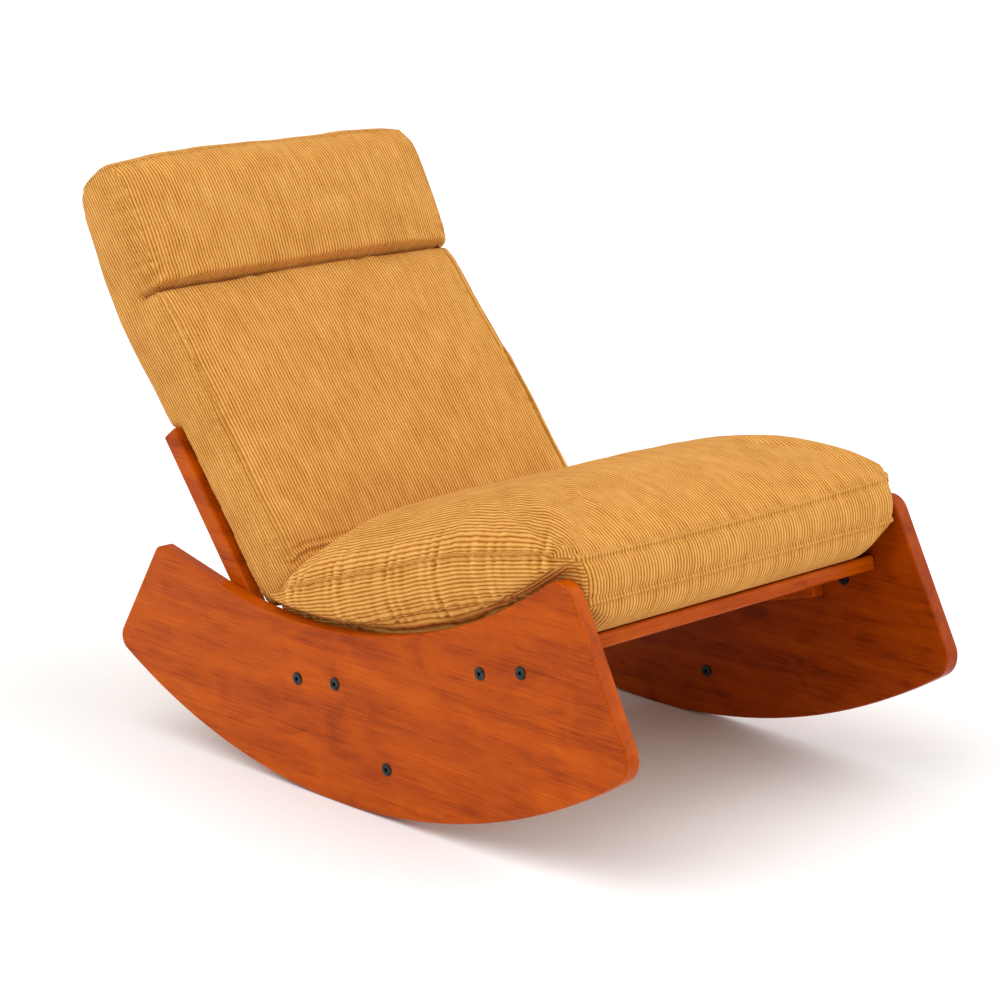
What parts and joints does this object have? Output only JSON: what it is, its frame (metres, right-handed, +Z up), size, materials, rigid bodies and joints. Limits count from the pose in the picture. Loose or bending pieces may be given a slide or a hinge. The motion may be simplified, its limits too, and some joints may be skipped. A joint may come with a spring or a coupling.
{
  "type": "rocking lounge chair",
  "caption": "Armless rocking lounge chair with lacquered plywood rocker sides, a thick loose seat cushion and a padded headrest back in golden corduroy",
  "frame": {"origin": "On the floor, midway between the points where the two runners touch it.", "axes": "+X to the chair's right-hand side as seen from the front of the chair looking rearwards, -Y the way the sitter faces, +Z up."},
  "size_m": [0.6444, 1.1, 0.7929],
  "materials": {
    "lacquered_plywood": "satin lacquer over reddish orange stain",
    "raw_plywood": "bare sanded beech plywood",
    "gold_corduroy": "ribbed cotton corduroy over foam",
    "zip_tape": "woven tape with moulded coil teeth",
    "black_steel": "black oxide, satin",
    "zinc_steel": "zinc plated",
    "black_plastic": "moulded, matte"
  },
  "bodies": {
    "base": {"side_panel_left": "lacquered_plywood", "side_panel_right": "lacquered_plywood", "side_frame_left": "lacquered_plywood", "side_frame_right": "lacquered_plywood", "front_rail": "lacquered_plywood", "rear_stretcher": "lacquered_plywood", "seat_slat_1": "raw_plywood", "seat_slat_2": "raw_plywood", "seat_slat_3": "raw_plywood", "seat_slat_4": "raw_plywood", "seat_slat_5": "raw_plywood", "slat_holders_left": "black_plastic", "slat_holders_right": "black_plastic", "back_rail_lower": "lacquered_plywood", "back_rail_upper": "lacquered_plywood", "back_board": "raw_plywood", "panel_bolts_left": "black_steel", "panel_bolts_right": "black_steel", "sleeve_nuts_left": "black_steel", "sleeve_nuts_right": "black_steel", "frame_inserts_left": "zinc_steel", "frame_inserts_right": "zinc_steel", "front_rail_dowels": "raw_plywood", "stretcher_dowels": "raw_plywood", "back_rail_dowels": "raw_plywood", "front_rail_screws": "zinc_steel", "back_screws": "zinc_steel", "board_tee_nuts": "zinc_steel", "back_cushion": "gold_corduroy", "headrest_cushion": "gold_corduroy", "back_zip": "zip_tape"},
    "seat_cushion": {"seat_cushion": "gold_corduroy", "seat_zip": "zip_tape"},
    "seat_zip_slider": {"seat_zip_slider": "zinc_steel"},
    "back_zip_slider": {"back_zip_slider": "zinc_steel"}
  },
  "joints": [
    {"name": "seat_cushion_lift", "type": "slide", "parent": "base", "child": "seat_cushion", "axis": [0, -0.6428, 0.766], "range_m": [0, 0.25]},
    {"name": "seat_zip_slide", "type": "slide", "parent": "seat_cushion", "child": "seat_zip_slider", "axis": [-1, 0, 0], "range_m": [0, 0.42]},
    {"name": "back_zip_slide", "type": "slide", "parent": "base", "child": "back_zip_slider", "axis": [-1, 0, 0], "range_m": [0, 0.42]}
  ]
}
